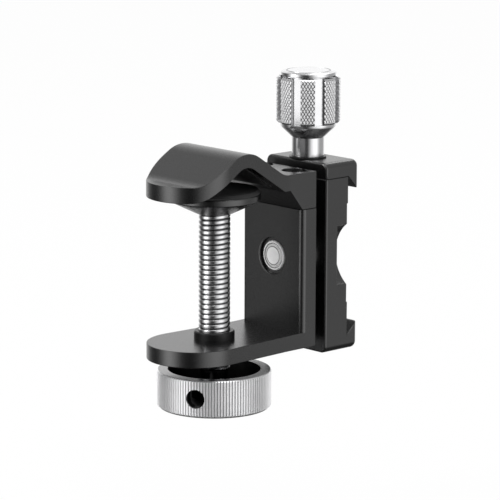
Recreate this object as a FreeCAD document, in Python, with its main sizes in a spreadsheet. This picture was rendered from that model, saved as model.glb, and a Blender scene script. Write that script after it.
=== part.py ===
# Dovetail quick release clamp on a small screw clamp.
# Lengths are in millimetres. The origin is the top of the V under the upper jaw, on the axis
# of the clamp screw. Z goes up along that screw and X goes from the screw to the dovetail.
import FreeCAD
import Part
import Sketcher
import math
import os
import re
from FreeCAD import Placement, Rotation, Vector

os.makedirs("parts", exist_ok=True)
doc = FreeCAD.newDocument("DovetailClamp")

# Driving sizes
sheet = doc.addObject("Spreadsheet::Sheet", "Sizes")
SIZES = {
    # jaws and spine of the screw clamp
    "clamp_width": 22.0,
    "spine_inner": 19.65,
    "spine_thickness": 4.85,
    "spine_corner_round": 1.4,
    "throat_height": 44.3,
    "lower_jaw_thickness": 4.0,
    "nose_reach": 6.4,
    "nose_radius": 12.1,
    "flare_start": 15.0,
    "wing_angle": 32.0,
    "wing_thickness": 3.5,
    "apex_round": 5.0,
    "valley_round": 6.0,
    "kink_round": 0.8,
    "tip_underside": 7.6,
    "kink_reach": 15.6,
    "parting_depth": 12.85,
    "block_top": 3.5,
    # screws of the upper jaw
    "jaw_screw_inset": 3.15,
    "jaw_screw_spacing": 12.0,
    "jaw_screw_thread": 3.0,
    "jaw_screw_length": 12.0,
    "jaw_screw_head": 5.5,
    "jaw_screw_head_height": 3.0,
    "jaw_screw_counterbore": 6.1,
    "jaw_screw_sink": 4.2,
    "jaw_screw_socket": 2.5,
    # grip strips in the V
    "liner_width": 17.0,
    "liner_thickness": 1.0,
    "liner_proud": 0.2,
    "liner_length": 10.5,
    "liner_start": 2.6,
    # screw, bush and wheel
    "screw_diameter": 7.9,
    "bush_shank": 9.4,
    "bush_collar": 10.2,
    "bush_collar_height": 2.1,
    "running_gap": 0.05,
    "hole_beyond_end": 0.5,
    "overcut": 1.0,
    "neck_diameter": 6.8,
    "wheel_gap": 3.75,
    "wheel_diameter": 28.6,
    "wheel_height": 9.5,
    "wheel_rim": 2.7,
    "wheel_teeth": 120,
    "wheel_tooth_depth": 0.34,
    "wheel_chamfer": 0.6,
    "wheel_hub": 11.0,
    "wheel_hub_height": 2.8,
    "wheel_spigot": 5.2,
    "bar_hole": 4.8,
    "bar_hole_depth": 4.7,
    "bar_hole_above_floor": 0.1,
    "bar_hole_angle": 208.4,
    "wheel_screw_thread": 3.0,
    "wheel_screw_length": 10.0,
    "wheel_screw_head": 7.0,
    "wheel_screw_head_height": 2.0,
    "wheel_screw_recess": 2.6,
    "wheel_screw_socket": 2.5,
    # pressure pad
    "pad_diameter": 23.0,
    "pad_top": 6.6,
    "facing_thickness": 0.9,
    "facing_chamfer": 0.5,
    "pad_rim_height": 1.7,
    "pad_cone_bottom": 12.5,
    "pad_cone_diameter": 9.4,
    "ball_end_diameter": 5.0,
    "ball_end_top": 8.9,
    "ring_thickness": 0.6,
    "ring_groove_depth": 0.5,
    "ring_height": 10.8,
    "ring_seat_depth": 0.45,
    # dovetail clamp
    "base_gap": 3.4,
    "base_depth": 7.84,
    "channel_depth": 0.3,
    "channel_top": 13.1,
    "channel_bottom": 38.4,
    "base_bottom": 50.9,
    "base_top": 6.2,
    "jaw_top": 2.1,
    "lip_reach": 4.0,
    "lip_land": 0.6,
    "lip_depth": 3.1,
    "lip_crest": 6.9,
    "lip_end_round": 1.8,
    "root_relief": 0.1,
    "base_corner": 1.6,
    "base_edge": 0.6,
    "scallop_radius": 9.5,
    "scallop_offset": 5.5,
    "scallop_depth": 3.74,
    "boss_diameter": 18.0,
    # fastener between the two clamps
    "mount_height": 26.05,
    "spine_counterbore": 9.4,
    "ring_outer": 7.6,
    "ring_sink": 0.9,
    "ring_rise": 0.45,
    "mount_thread": 5.8,
    "mount_hole_gap": 0.2,
    "mount_end_sink": 0.35,
    "mount_head": 10.0,
    "mount_head_height": 2.6,
    "mount_head_sink": 0.3,
    "mount_head_counterbore": 11.0,
    "mount_socket": 4.0,
    "lock_washer_thickness": 1.0,
    "locating_pin_diameter": 3.0,
    "locating_pin_length": 5.0,
    "locating_pin_offset": 6.6,
    # knob, draw screw, pins and springs
    "knob_reach": 4.1,
    "washer_thickness": 0.4,
    "washer_diameter": 9.4,
    "stem_diameter": 8.25,
    "stem_height": 4.85,
    "knob_cone_height": 2.8,
    "knob_band_height": 0.95,
    "knob_diameter": 14.1,
    "lobe_diameter": 16.2,
    "lobe_height": 11.7,
    "lobe_count": 8,
    "flute_angle": 18.0,
    "cap_height": 1.55,
    "cap_chamfer": 0.7,
    "draw_screw_thread": 5.0,
    "draw_screw_to_mount": 2.15,
    "draw_screw_in_knob": 10.0,
    "pin_diameter": 3.0,
    "pin_spacing": 15.0,
    "pin_in_base": 11.0,
    "pin_in_jaw": 3.2,
    "spring_wire": 0.45,
    "spring_pocket": 4.6,
    "spring_pocket_depth": 6.0,
    "spring_turns": 6,
}
for row, (alias, value) in enumerate(SIZES.items(), start=1):
    sheet.set(f"A{row}", alias.replace("_", " "))
    sheet.set(f"B{row}", str(value))
    sheet.setAlias(f"B{row}", alias)
doc.recompute()


def bound(expression):
    """The expression with each size's name pointing at its cell."""
    swap = lambda word: "Sizes." + word.group(0) if word.group(0) in SIZES else word.group(0)
    return re.sub(r"[a-z][a-z_]*", swap, expression)


def number(expression):
    """The value of an expression of named sizes."""
    found = sheet.evalExpression(bound(expression))
    return float(getattr(found, "Value", found))


def bind(item, **properties):
    """Ties properties of an object to expressions of named sizes."""
    for name, expression in properties.items():
        item.setExpression(name, bound(expression))


def put(item, x="0", y="0", z="0", rotation=None):
    """Places an object at a point given by expressions."""
    item.Placement = Placement(Vector(number(x), number(y), number(z)), rotation or Rotation())
    for axis, expression in (("x", x), ("y", y), ("z", z)):
        item.setExpression(f".Placement.Base.{axis}", bound(expression))


TO_X = Rotation(Vector(0, 1, 0), 90)
TO_MINUS_X = Rotation(Vector(0, 1, 0), -90)
TO_MINUS_Y = Rotation(Vector(1, 0, 0), 90)
HALF = "clamp_width / 2"
SPINE_BACK = "spine_inner + spine_thickness"
BASE_FACE = "spine_inner + spine_thickness + base_gap"
BASE_FRONT = BASE_FACE + " + base_depth"
LOWER_JAW_BOTTOM = "-throat_height - lower_jaw_thickness"
WHEEL_TOP = LOWER_JAW_BOTTOM + " - wheel_gap"
WHEEL_DISH = "wheel_diameter - 2 * wheel_rim"
KNOB_X = BASE_FACE + " + knob_reach"


def plane(body, role):
    return next(item for item in body.Origin.OriginFeatures if item.Role == role)


def body_named(name):
    body = doc.addObject("PartDesign::Body", name)
    body.Label = name
    return body


def sketch_on(body, name, role, height="0"):
    sketch = body.newObject("Sketcher::SketchObject", name)
    sketch.AttachmentSupport = [(plane(body, role), "")]
    sketch.MapMode = "FlatFace"
    sketch.setExpression(".AttachmentOffset.Base.z", bound(height))
    return sketch


def fix_point(sketch, geometry, end, u, v):
    """Dimensions one end of a piece of sketch geometry from the sketch's origin."""
    for kind, expression in (("DistanceX", u), ("DistanceY", v)):
        value = number(expression)
        index = sketch.addConstraint(Sketcher.Constraint(kind, -1, 1, geometry, end, value))
        sketch.setExpression(f"Constraints[{index}]", bound(expression))


def outline(sketch, points):
    """A closed outline through points given as pairs of expressions, all dimensioned."""
    places = [Vector(number(u), number(v), 0) for u, v in points]
    count = len(places)
    for index in range(count):
        sketch.addGeometry(Part.LineSegment(places[index], places[(index + 1) % count]), False)
    for index in range(count):
        sketch.addConstraint(Sketcher.Constraint("Coincident", index, 2, (index + 1) % count, 1))
    for index, (u, v) in enumerate(points):
        fix_point(sketch, index, 1, u, v)
    return sketch


def turned(name, profile):
    """A body turned about its own Z from a profile of (radius, height) points."""
    body = body_named(name)
    sketch = outline(sketch_on(body, name + "_profile", "XZ_Plane"), profile)
    turn = body.newObject("PartDesign::Revolution", name + "_turned")
    turn.Profile = sketch
    turn.ReferenceAxis = (sketch, ["V_Axis"])
    turn.Angle = 360
    return body


def padded(body, name, sketch, length, both_ways=False):
    pad = body.newObject("PartDesign::Pad", name)
    pad.Profile = sketch
    pad.Midplane = both_ways
    bind(pad, Length=length)
    return pad


def round_tool(body, name, diameter, length, x="0", y="0", z="0", rotation=None, cut=True):
    """A round hole, or a round boss, from a point along the local Z of the rotation."""
    kind = "PartDesign::SubtractiveCylinder" if cut else "PartDesign::AdditiveCylinder"
    tool = body.newObject(kind, name)
    bind(tool, Radius=f"({diameter}) / 2", Height=length)
    put(tool, x, y, z, rotation)
    return tool


def hexagon(body, name, across_flats, depth, x="0", y="0", z="0", rotation=None):
    """A hexagon socket cut along the local Z of the rotation."""
    socket = body.newObject("PartDesign::SubtractivePrism", name)
    socket.Polygon = 6
    bind(socket, Circumradius=f"({across_flats}) / sqrt(3)", Height=depth)
    put(socket, x, y, z, rotation)
    return socket


def edges_where(feature, wanted):
    """Names of the straight edges whose two ends pass a test."""
    doc.recompute()
    names = []
    for index, edge in enumerate(feature.Shape.Edges, start=1):
        ends = [vertex.Point for vertex in edge.Vertexes]
        if len(ends) == 2 and wanted(ends[0], ends[1]):
            names.append(f"Edge{index}")
    return names


def near(a, b):
    return abs(a - b) < 0.01


def dress(body, kind, name, base, edges, size):
    feature = body.newObject("PartDesign::" + kind, name)
    feature.Base = (base, edges)
    bind(feature, **{"Radius" if kind == "Fillet" else "Size": size})
    return feature


# Plan of both jaws: as wide as the spine at the back, flaring to a round nose
def jaw_plan(sketch, back):
    """Closed plan: a line at the back, two straight sides, two flared sides and the nose."""
    half = number(HALF)
    back_x = number(back)
    flare_x = number("flare_start")
    nose = Vector(-number("nose_reach"), 0, 0)
    radius = number("nose_radius")
    away = math.hypot(flare_x - nose.x, half)
    touch = math.atan2(half, flare_x - nose.x) + math.acos(radius / away)
    upper = nose + Vector(radius * math.cos(touch), radius * math.sin(touch), 0)
    lower = Vector(upper.x, -upper.y, 0)
    corners = [Vector(back_x, -half, 0), Vector(back_x, half, 0), Vector(flare_x, half, 0), upper]
    for first, second in zip(corners, corners[1:]):
        sketch.addGeometry(Part.LineSegment(first, second), False)
    circle = Part.Circle(nose, Vector(0, 0, 1), radius)
    sketch.addGeometry(Part.ArcOfCircle(circle, touch, 2 * math.pi - touch), False)
    sketch.addGeometry(Part.LineSegment(lower, Vector(flare_x, -half, 0)), False)
    sketch.addGeometry(Part.LineSegment(Vector(flare_x, -half, 0), corners[0]), False)
    add = lambda *values: sketch.addConstraint(Sketcher.Constraint(*values))
    for first, second in ((0, 1), (1, 2), (4, 5), (5, 0)):
        add("Coincident", first, 2, second, 1)
    add("Tangent", 2, 2, 3, 1)
    add("Tangent", 3, 2, 4, 1)
    fix_point(sketch, 0, 1, back, f"-({HALF})")
    fix_point(sketch, 0, 2, back, HALF)
    fix_point(sketch, 1, 2, "flare_start", HALF)
    fix_point(sketch, 5, 1, "flare_start", f"-({HALF})")
    fix_point(sketch, 3, 3, "-nose_reach", "0")
    index = add("Radius", 3, radius)
    sketch.setExpression(f"Constraints[{index}]", bound("nose_radius"))
    return sketch


# Clamp frame: lower jaw and spine in one piece
JAW_SCREW_X = SPINE_BACK + " - jaw_screw_inset"
frame = body_named("clamp_frame")
plan = jaw_plan(sketch_on(frame, "lower_jaw_plan", "XY_Plane", LOWER_JAW_BOTTOM), SPINE_BACK)
padded(frame, "lower_jaw", plan, "lower_jaw_thickness")
section = outline(
    sketch_on(frame, "spine_section", "XY_Plane", LOWER_JAW_BOTTOM),
    [
        ("spine_inner", f"-({HALF})"),
        (SPINE_BACK, f"-({HALF})"),
        (SPINE_BACK, HALF),
        ("spine_inner", HALF),
    ],
)
spine = padded(
    frame, "spine", section, "throat_height + lower_jaw_thickness - parting_depth"
)
upright = edges_where(
    spine,
    lambda a, b: near(a.x, number("spine_inner")) and near(b.x, a.x) and near(a.y, b.y)
    and near(abs(a.y), number(HALF)),
)
dress(frame, "Fillet", "spine_rounding", spine, upright, "spine_corner_round")
round_tool(
    frame, "bush_hole", "bush_shank", "lower_jaw_thickness + 2 * overcut",
    z=LOWER_JAW_BOTTOM + " - overcut",
)
round_tool(
    frame, "mount_hole", "ring_outer", "spine_thickness + 2 * overcut",
    x="spine_inner - overcut", z="-mount_height", rotation=TO_X,
)
round_tool(
    frame, "mount_counterbore", "spine_counterbore", "ring_sink + overcut",
    x="spine_inner - overcut", z="-mount_height", rotation=TO_X,
)
for side, name in ((-1, "near"), (1, "far")):
    round_tool(
        frame, f"jaw_screw_hole_{name}", "jaw_screw_thread",
        "jaw_screw_length + block_top + jaw_screw_sink - parting_depth + hole_beyond_end + overcut",
        x=JAW_SCREW_X, y=f"{side} * jaw_screw_spacing / 2", z="-parting_depth + overcut",
        rotation=Rotation(Vector(1, 0, 0), 180),
    )
    round_tool(
        frame, f"locating_hole_{name}", "locating_pin_diameter", "locating_pin_length / 2",
        x=SPINE_BACK + " - locating_pin_length / 2", y=f"{side} * locating_pin_offset",
        z="-mount_height", rotation=TO_X,
    )

# Upper jaw: gull-wing plate and the block on the end of the spine
APEX = "apex_round * (1 / cos(wing_angle) - 1)"
RIDGE = APEX + " + wing_thickness / cos(wing_angle)"
WING_END = f"({APEX} + tip_underside) / tan(wing_angle)"
SLOPE_END = f"({RIDGE} + block_top) / tan(wing_angle)"
PAST_TIP = "nose_reach + nose_radius + overcut"
upper_jaw = body_named("upper_jaw")
section = outline(
    sketch_on(upper_jaw, "wing_section", "XZ_Plane"),
    [
        (f"-({PAST_TIP})", "-tip_underside"),
        (f"-({WING_END})", "-tip_underside"),
        ("0", APEX),
        (WING_END, "-tip_underside"),
        ("kink_reach", "-tip_underside"),
        ("spine_inner", "-parting_depth"),
        (SPINE_BACK, "-parting_depth"),
        (SPINE_BACK, "-block_top"),
        (SLOPE_END, "-block_top"),
        ("0", RIDGE),
        (f"-({SLOPE_END})", "-block_top"),
        (f"-({PAST_TIP})", "-block_top"),
    ],
)
wing = padded(upper_jaw, "wing", section, "2 * (nose_radius + overcut)", both_ways=True)


def round_along_y(body, name, base, x, z, radius):
    """Rounds the edges that run along Y through a point of the section."""
    touches = lambda a: near(a.x, number(x)) and near(a.z, number(z))
    edges = edges_where(base, lambda a, b: touches(a) and touches(b))
    return dress(body, "Fillet", name, base, edges, radius)


bends = [
    ("apex_bend", "0", APEX, "apex_round"),
    ("ridge_bend", "0", RIDGE, "apex_round + wing_thickness"),
    ("rear_valley", SLOPE_END, "-block_top", "valley_round"),
    ("front_valley", f"-({SLOPE_END})", "-block_top", "valley_round"),
    ("front_belly", f"-({WING_END})", "-tip_underside", "valley_round + wing_thickness"),
    ("kink_bend", "kink_reach", "-tip_underside", "kink_round"),
]
for name, x, z, radius in bends:
    wing = round_along_y(upper_jaw, name, wing, x, z, radius)
trim_plan = sketch_on(upper_jaw, "upper_jaw_plan", "XY_Plane", RIDGE + " + overcut")
trim = jaw_plan(trim_plan, SPINE_BACK)
waste_x = (-number(PAST_TIP + " + overcut"), number(SPINE_BACK + " + overcut"))
waste_y = number("nose_radius + 2 * overcut")
waste = [
    Vector(waste_x[0], -waste_y, 0),
    Vector(waste_x[1], -waste_y, 0),
    Vector(waste_x[1], waste_y, 0),
    Vector(waste_x[0], waste_y, 0),
]
for first, second in zip(waste, waste[1:] + waste[:1]):
    trim.addGeometry(Part.LineSegment(first, second), False)
trimmed = upper_jaw.newObject("PartDesign::Pocket", "wing_trim")
trimmed.Profile = trim
bind(trimmed, Length=RIDGE + " + parting_depth + 2 * overcut")
for side, name in ((-1, "near"), (1, "far")):
    spot = dict(x=JAW_SCREW_X, y=f"{side} * jaw_screw_spacing / 2")
    round_tool(
        upper_jaw, f"counterbore_{name}", "jaw_screw_counterbore", "jaw_screw_sink + overcut",
        z="-block_top - jaw_screw_sink", **spot,
    )
    round_tool(
        upper_jaw, f"clearance_{name}", "jaw_screw_thread + 2 * running_gap",
        "parting_depth - block_top - jaw_screw_sink + 2 * overcut",
        z="-parting_depth - overcut", **spot,
    )

# Grip strips let into both sides of the V
LINER_PLACES = {
    "rear": ("liner_start", Rotation(Vector(0, 1, 0), number("wing_angle")), 1),
    "front": ("liner_start + liner_length", Rotation(Vector(0, 1, 0), -number("wing_angle")), -1),
}


def liner_box(box, start, rotation, side, depth, below):
    """A box along one side of the V, from below its surface up into the jaw."""
    bind(box, Length="liner_length", Width="liner_width", Height=f"({depth}) + ({below})")
    z = f"{APEX} - ({start}) * sin(wing_angle) - ({below}) * cos(wing_angle)"
    if side > 0:
        x = f"({start}) * cos(wing_angle) - ({below}) * sin(wing_angle)"
    else:
        x = f"-({start}) * cos(wing_angle) + ({below}) * sin(wing_angle)"
    put(box, x, "-liner_width / 2", z, rotation)


for end, (start, rotation, side) in LINER_PLACES.items():
    pocket = upper_jaw.newObject("PartDesign::SubtractiveBox", f"liner_pocket_{end}")
    liner_box(pocket, start, rotation, side, "liner_thickness - liner_proud", "overcut")
    liner = doc.addObject("Part::Box", f"jaw_liner_{end}")
    liner.Label = f"jaw_liner_{end}"
    liner_box(liner, start, rotation, side, "liner_thickness - liner_proud", "liner_proud")

# Screws of the upper jaw
SCREW_SEAT = "-block_top - jaw_screw_sink"
jaw_screw = turned(
    "jaw_screw",
    [
        ("0", "-jaw_screw_length"),
        ("jaw_screw_thread / 2", "-jaw_screw_length"),
        ("jaw_screw_thread / 2", "0"),
        ("jaw_screw_head / 2", "0"),
        ("jaw_screw_head / 2", "jaw_screw_head_height - 0.3"),
        ("jaw_screw_head / 2 - 0.3", "jaw_screw_head_height"),
        ("0", "jaw_screw_head_height"),
    ],
)
hexagon(jaw_screw, "jaw_screw_hexagon", "jaw_screw_socket", "2", z="jaw_screw_head_height - 1.5")
put(jaw_screw, JAW_SCREW_X, "-jaw_screw_spacing / 2", SCREW_SEAT)


def mirrored_pair(name, source):
    """One node that holds a piece and its mirror image across the middle plane."""
    twin = doc.addObject("Part::Mirroring", name + "_twin")
    twin.Source = source
    twin.Normal = Vector(0, 1, 0)
    pair = doc.addObject("Part::Compound", name)
    pair.Links = [source, twin]
    pair.Label = name
    return pair


upper_jaw_screws = mirrored_pair("upper_jaw_screws", jaw_screw)

# Threaded bush in the lower jaw
threaded_bush = turned(
    "threaded_bush",
    [
        ("screw_diameter / 2 + running_gap", LOWER_JAW_BOTTOM),
        ("bush_shank / 2", LOWER_JAW_BOTTOM),
        ("bush_shank / 2", "-throat_height"),
        ("bush_collar / 2", "-throat_height"),
        ("bush_collar / 2", "-throat_height + bush_collar_height - 0.3"),
        ("bush_collar / 2 - 0.3", "-throat_height + bush_collar_height"),
        ("screw_diameter / 2 + running_gap", "-throat_height + bush_collar_height"),
    ],
)

# Clamp screw with its neck, its spigot in the wheel and its grooved end in the pad
WHEEL_BOTTOM = WHEEL_TOP + " - wheel_height"
BAR_HOLE_Z = WHEEL_TOP + " - bar_hole_depth"
DISH_FLOOR = BAR_HOLE_Z + " - bar_hole / 2 - bar_hole_above_floor"
HUB_TOP = DISH_FLOOR + " + wheel_hub_height"
HEAD_SEAT = WHEEL_BOTTOM + " + wheel_screw_recess"
END_RADIUS = "ball_end_diameter / 2"
GROOVE_RADIUS = END_RADIUS + " - ring_groove_depth"
RING_BOTTOM = "-ring_height - ring_thickness"
clamp_screw = turned(
    "clamp_screw",
    [
        ("0", HEAD_SEAT + " + 0.1"),
        ("wheel_spigot / 2", HEAD_SEAT + " + 0.1"),
        ("wheel_spigot / 2", HUB_TOP),
        ("neck_diameter / 2", HUB_TOP),
        ("neck_diameter / 2", WHEEL_TOP),
        ("screw_diameter / 2", WHEEL_TOP + " + (screw_diameter - neck_diameter) / 2"),
        ("screw_diameter / 2", "-pad_cone_bottom"),
        (END_RADIUS, "-pad_cone_bottom"),
        (END_RADIUS, RING_BOTTOM + " - running_gap"),
        (GROOVE_RADIUS, RING_BOTTOM + " - running_gap"),
        (GROOVE_RADIUS, "-ring_height + running_gap"),
        (END_RADIUS, "-ring_height + running_gap"),
        (END_RADIUS, "-ball_end_top"),
        ("0", "-ball_end_top"),
    ],
)
round_tool(
    clamp_screw, "wheel_screw_hole", "wheel_screw_thread", "wheel_screw_length + 0.5",
    z=HEAD_SEAT,
)

# Handwheel: straight-knurled rim, dish, hub and a cross hole for a bar
wheel_turned = turned(
    "wheel_turned",
    [
        ("wheel_spigot / 2", HEAD_SEAT),
        ("wheel_screw_head / 2 + 0.4", HEAD_SEAT),
        ("wheel_screw_head / 2 + 0.4", WHEEL_BOTTOM),
        ("wheel_diameter / 2 - wheel_chamfer", WHEEL_BOTTOM),
        ("wheel_diameter / 2", WHEEL_BOTTOM + " + wheel_chamfer"),
        ("wheel_diameter / 2", WHEEL_TOP + " - wheel_chamfer / 2"),
        ("wheel_diameter / 2 - wheel_chamfer / 2", WHEEL_TOP),
        (f"({WHEEL_DISH}) / 2", WHEEL_TOP),
        (f"({WHEEL_DISH}) / 2", DISH_FLOOR),
        ("wheel_hub / 2", DISH_FLOOR),
        ("wheel_hub / 2", HUB_TOP),
        ("wheel_spigot / 2", HUB_TOP),
    ],
)


def toothed_outline(teeth, outer, depth, height):
    """Outline of a straight knurl: each tooth has a flat tip and a sharp root."""
    points = []
    step = 2 * math.pi / teeth
    for tooth in range(teeth):
        for share, radius in ((0.0, outer - depth), (0.3, outer), (0.7, outer)):
            angle = (tooth + share) * step
            points.append(Vector(radius * math.cos(angle), radius * math.sin(angle), height))
    return Part.Face(Part.makePolygon(points + points[:1]))


knurl = doc.addObject("Part::Feature", "wheel_knurl")
knurl_face = toothed_outline(
    int(number("wheel_teeth")), number("wheel_diameter / 2"), number("wheel_tooth_depth"),
    number(WHEEL_BOTTOM),
)
knurl.Shape = knurl_face.extrude(Vector(0, 0, number("wheel_height")))
wheel_body = doc.addObject("Part::Common", "wheel_body")
wheel_body.Base = wheel_turned
wheel_body.Tool = knurl
bar_hole = doc.addObject("Part::Cylinder", "bar_hole")
bind(bar_hole, Radius="bar_hole / 2", Height="wheel_diameter / 2")
put(
    bar_hole, f"({WHEEL_DISH}) / 4 * cos(bar_hole_angle)", f"({WHEEL_DISH}) / 4 * sin(bar_hole_angle)",
    BAR_HOLE_Z, Rotation(Vector(0, 0, 1), number("bar_hole_angle")).multiply(TO_X),
)
handwheel = doc.addObject("Part::Cut", "handwheel")
handwheel.Base = wheel_body
handwheel.Tool = bar_hole

handwheel_screw = turned(
    "handwheel_screw",
    [
        ("0", "0"),
        ("wheel_screw_head / 2 - 0.4", "0"),
        ("wheel_screw_head / 2", "0.4"),
        ("wheel_screw_head / 2", "wheel_screw_head_height"),
        ("wheel_screw_thread / 2", "wheel_screw_head_height"),
        ("wheel_screw_thread / 2", "wheel_screw_head_height + wheel_screw_length"),
        ("0", "wheel_screw_head_height + wheel_screw_length"),
    ],
)
hexagon(handwheel_screw, "wheel_screw_hexagon", "wheel_screw_socket", "2.2", z="-1")
put(handwheel_screw, z=HEAD_SEAT + " - wheel_screw_head_height")

# Pressure pad, its facing and the ring that keeps it on the screw
FACING_SEAT = "-pad_top - facing_thickness"
pressure_pad = turned(
    "pressure_pad",
    [
        ("0", FACING_SEAT),
        ("pad_diameter / 2 - 0.2", FACING_SEAT),
        ("pad_diameter / 2", FACING_SEAT + " - 0.2"),
        ("pad_diameter / 2", FACING_SEAT + " - pad_rim_height"),
        ("pad_cone_diameter / 2", "-pad_cone_bottom"),
        (END_RADIUS + " + running_gap", "-pad_cone_bottom"),
        (END_RADIUS + " + running_gap", RING_BOTTOM),
        (END_RADIUS + " + ring_seat_depth", RING_BOTTOM),
        (END_RADIUS + " + ring_seat_depth", "-ring_height"),
        (END_RADIUS + " + running_gap", "-ring_height"),
        (END_RADIUS + " + running_gap", "-ball_end_top + running_gap"),
        ("0", "-ball_end_top + running_gap"),
    ],
)
pad_facing = turned(
    "pad_facing",
    [
        ("0", FACING_SEAT),
        ("pad_diameter / 2 - 0.2", FACING_SEAT),
        ("pad_diameter / 2 - 0.2", "-pad_top - facing_chamfer"),
        ("pad_diameter / 2 - 0.2 - facing_chamfer", "-pad_top"),
        ("0", "-pad_top"),
    ],
)
pad_retaining_ring = turned(
    "pad_retaining_ring",
    [
        (GROOVE_RADIUS + " + running_gap", RING_BOTTOM),
        (END_RADIUS + " + ring_seat_depth", RING_BOTTOM),
        (END_RADIUS + " + ring_seat_depth", "-ring_height"),
        (GROOVE_RADIUS + " + running_gap", "-ring_height"),
    ],
)

# Base of the dovetail clamp with the lower lip, the boss and the side scallops
CHANNEL_X = BASE_FRONT + " - channel_depth"
LIP_X = BASE_FRONT + " + lip_reach"
CREST_X = BASE_FRONT + " + lip_depth"
CREST_Z = "-base_bottom + lip_crest"
clamp_base = body_named("clamp_base")
section = outline(
    sketch_on(clamp_base, "base_section", "XZ_Plane"),
    [
        (BASE_FACE, "-base_top"),
        (BASE_FRONT, "-base_top"),
        (BASE_FRONT, "-channel_top"),
        (CHANNEL_X, "-channel_top"),
        (CHANNEL_X, "-channel_bottom"),
        (BASE_FRONT, "-channel_bottom"),
        (BASE_FRONT, CREST_Z + " - lip_depth"),
        (CREST_X, CREST_Z),
        (LIP_X, CREST_Z),
        (LIP_X, "-base_bottom"),
        (BASE_FACE, "-base_bottom"),
    ],
)
block = padded(clamp_base, "base_block", section, "clamp_width", both_ways=True)
block = round_along_y(clamp_base, "lip_corner", block, LIP_X, "-base_bottom", "base_corner")


def round_uprights(body, name, base, x, radius):
    """Rounds the outer upright edges at a distance along X."""
    on_side = lambda a: near(a.x, number(x)) and near(abs(a.y), number(HALF))
    edges = edges_where(base, lambda a, b: on_side(a) and near(b.x, a.x) and near(b.y, a.y))
    return dress(body, "Fillet", name, base, edges, radius)


block = round_uprights(clamp_base, "lip_uprights", block, LIP_X, "lip_end_round")
block = round_uprights(clamp_base, "back_uprights", block, BASE_FACE, "base_edge")
round_tool(
    clamp_base, "boss", "boss_diameter", "base_gap + base_depth / 4",
    x=SPINE_BACK, z="-mount_height", rotation=TO_X, cut=False,
)
HEAD_FLOOR = CHANNEL_X + " - mount_head_sink - mount_head_height - lock_washer_thickness"
round_tool(
    clamp_base, "mount_screw_hole", "mount_thread + 2 * mount_hole_gap",
    "base_gap + base_depth + 2 * overcut",
    x=SPINE_BACK + " - overcut", z="-mount_height", rotation=TO_X,
)
round_tool(
    clamp_base, "mount_head_recess", "mount_head_counterbore", "base_depth",
    x=HEAD_FLOOR, z="-mount_height", rotation=TO_X,
)
for side, name in ((-1, "near"), (1, "far")):
    round_tool(
        clamp_base, f"scallop_{name}", "2 * scallop_radius", "scallop_depth + lip_reach + overcut",
        x=BASE_FRONT + " - scallop_depth", y=f"{side} * ({HALF} + scallop_offset)",
        z="-mount_height", rotation=TO_X,
    )
    round_tool(
        clamp_base, f"base_locating_hole_{name}", "locating_pin_diameter",
        "locating_pin_length / 2 + overcut", x=SPINE_BACK + " - overcut",
        y=f"{side} * locating_pin_offset", z="-mount_height", rotation=TO_X,
    )
    round_tool(
        clamp_base, f"guide_pin_hole_{name}", "pin_diameter + 2 * running_gap",
        "pin_in_base + hole_beyond_end + overcut",
        x=KNOB_X, y=f"{side} * pin_spacing / 2", z="-base_top - pin_in_base - hole_beyond_end",
    )
    round_tool(
        clamp_base, f"spring_pocket_{name}", "spring_pocket", "spring_pocket_depth + overcut",
        x=KNOB_X, y=f"{side} * pin_spacing / 2", z="-base_top - spring_pocket_depth",
    )
DRAW_SCREW_END = "-mount_height + mount_head_counterbore / 2 + draw_screw_to_mount"
DRAW_HOLE_END = DRAW_SCREW_END + " - hole_beyond_end"
round_tool(
    clamp_base, "draw_screw_hole", "draw_screw_thread + 2 * running_gap",
    f"-base_top - ({DRAW_HOLE_END}) + overcut", x=KNOB_X, z=DRAW_HOLE_END,
)

# Moving jaw with the upper lip
JAW_LIP_Z = "-base_top - root_relief - lip_depth"
moving_jaw = body_named("moving_jaw")
section = outline(
    sketch_on(moving_jaw, "moving_jaw_section", "XZ_Plane"),
    [
        (BASE_FACE, "-base_top"),
        (BASE_FACE, "-jaw_top"),
        (LIP_X, "-jaw_top"),
        (LIP_X, JAW_LIP_Z),
        (CREST_X, JAW_LIP_Z),
        (BASE_FRONT + " + running_gap", "-base_top - root_relief + running_gap"),
        (BASE_FRONT + " + running_gap", "-base_top"),
    ],
)
block = padded(moving_jaw, "jaw_block", section, "clamp_width", both_ways=True)
block = round_along_y(moving_jaw, "jaw_corner", block, LIP_X, "-jaw_top", "base_corner")
block = round_uprights(moving_jaw, "jaw_lip_uprights", block, LIP_X, "lip_end_round")
block = round_uprights(moving_jaw, "jaw_back_uprights", block, BASE_FACE, "base_edge")
round_tool(
    moving_jaw, "jaw_draw_hole", "draw_screw_thread + 2 * running_gap",
    "base_top - jaw_top + 2 * overcut", x=KNOB_X, z="-base_top - overcut",
)
for side, name in ((-1, "near"), (1, "far")):
    round_tool(
        moving_jaw, f"jaw_pin_hole_{name}", "pin_diameter", "pin_in_jaw + overcut",
        x=KNOB_X, y=f"{side} * pin_spacing / 2", z="-base_top - overcut",
    )

# Guide pins and the springs around them
guide_pin = doc.addObject("Part::Cylinder", "guide_pin")
bind(guide_pin, Radius="pin_diameter / 2", Height="pin_in_base + pin_in_jaw")
put(guide_pin, KNOB_X, "-pin_spacing / 2", "-base_top - pin_in_base")
guide_pins = mirrored_pair("guide_pins", guide_pin)


def coil(radius, rise, turns, wire_radius):
    """A round-wire coil whose wire starts at the height of the origin."""
    path = Part.makeHelix(rise / turns, rise, radius)
    start = Part.Circle(Vector(radius, 0, 0), Vector(0, 1, 0), wire_radius)
    return Part.Wire(path).makePipeShell([Part.Wire(start.toShape())], True, True)


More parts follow.
